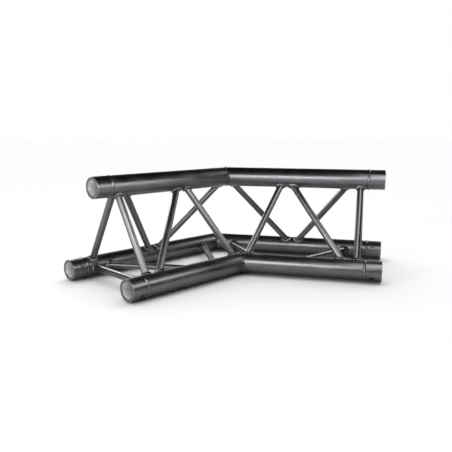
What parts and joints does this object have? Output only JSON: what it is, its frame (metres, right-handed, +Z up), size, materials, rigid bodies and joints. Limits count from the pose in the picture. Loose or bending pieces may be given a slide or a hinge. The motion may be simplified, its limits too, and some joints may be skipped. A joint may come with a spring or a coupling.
{
  "type": "lighting truss corner section",
  "caption": "Welded aluminium corner of a triangular lighting truss: legs meeting at an obtuse angle, laced panels, mitred chords and pinned coupler receivers.",
  "frame": {"origin": "middle of the footprint, on the surface that the bottom chords stand on", "axes": "+Z up, X across the corner from one leg to the other, the inside of the corner faces -Y"},
  "size_m": [0.865, 0.5018, 0.2608],
  "materials": {
    "chord_tube": "satin black powder coat on aluminium tube",
    "brace_tube": "satin black powder coat on aluminium tube",
    "receiver": "satin black powder coat outside, bare turned aluminium in the socket",
    "weld_bead": "rippled weld under satin black powder coat"
  },
  "bodies": {
    "root": {"back_mitre_weld": "weld_bead", "front_mitre_weld": "weld_bead", "left_back_chord": "chord_tube", "left_back_panel_inner_brace": "brace_tube", "left_back_panel_inner_brace_welds": "weld_bead", "left_back_panel_outer_brace": "brace_tube", "left_back_panel_outer_brace_welds": "weld_bead", "left_back_panel_post": "brace_tube", "left_back_panel_post_welds": "weld_bead", "left_back_receiver": "receiver", "left_back_receiver_weld": "weld_bead", "left_bottom_panel_inner_brace": "brace_tube", "left_bottom_panel_inner_brace_welds": "weld_bead", "left_bottom_panel_outer_brace": "brace_tube", "left_bottom_panel_outer_brace_welds": "weld_bead", "left_bottom_panel_post": "brace_tube", "left_bottom_panel_post_welds": "weld_bead", "left_front_chord": "chord_tube", "left_front_panel_inner_brace": "brace_tube", "left_front_panel_inner_brace_welds": "weld_bead", "left_front_panel_outer_brace": "brace_tube", "left_front_panel_outer_brace_welds": "weld_bead", "left_front_panel_post": "brace_tube", "left_front_panel_post_welds": "weld_bead", "left_front_receiver": "receiver", "left_front_receiver_weld": "weld_bead", "left_top_chord": "chord_tube", "left_top_receiver": "receiver", "left_top_receiver_weld": "weld_bead", "right_back_chord": "chord_tube", "right_back_panel_inner_brace": "brace_tube", "right_back_panel_inner_brace_welds": "weld_bead", "right_back_panel_outer_brace": "brace_tube", "right_back_panel_outer_brace_welds": "weld_bead", "right_back_panel_post": "brace_tube", "right_back_panel_post_welds": "weld_bead", "right_back_receiver": "receiver", "right_back_receiver_weld": "weld_bead", "right_bottom_panel_inner_brace": "brace_tube", "right_bottom_panel_inner_brace_welds": "weld_bead", "right_bottom_panel_outer_brace": "brace_tube", "right_bottom_panel_outer_brace_welds": "weld_bead", "right_bottom_panel_post": "brace_tube", "right_bottom_panel_post_welds": "weld_bead", "right_front_chord": "chord_tube", "right_front_panel_inner_brace": "brace_tube", "right_front_panel_inner_brace_welds": "weld_bead", "right_front_panel_outer_brace": "brace_tube", "right_front_panel_outer_brace_welds": "weld_bead", "right_front_panel_post": "brace_tube", "right_front_panel_post_welds": "weld_bead", "right_front_receiver": "receiver", "right_front_receiver_weld": "weld_bead", "right_top_chord": "chord_tube", "right_top_receiver": "receiver", "right_top_receiver_weld": "weld_bead", "top_mitre_weld": "weld_bead"}
  },
  "joints": []
}
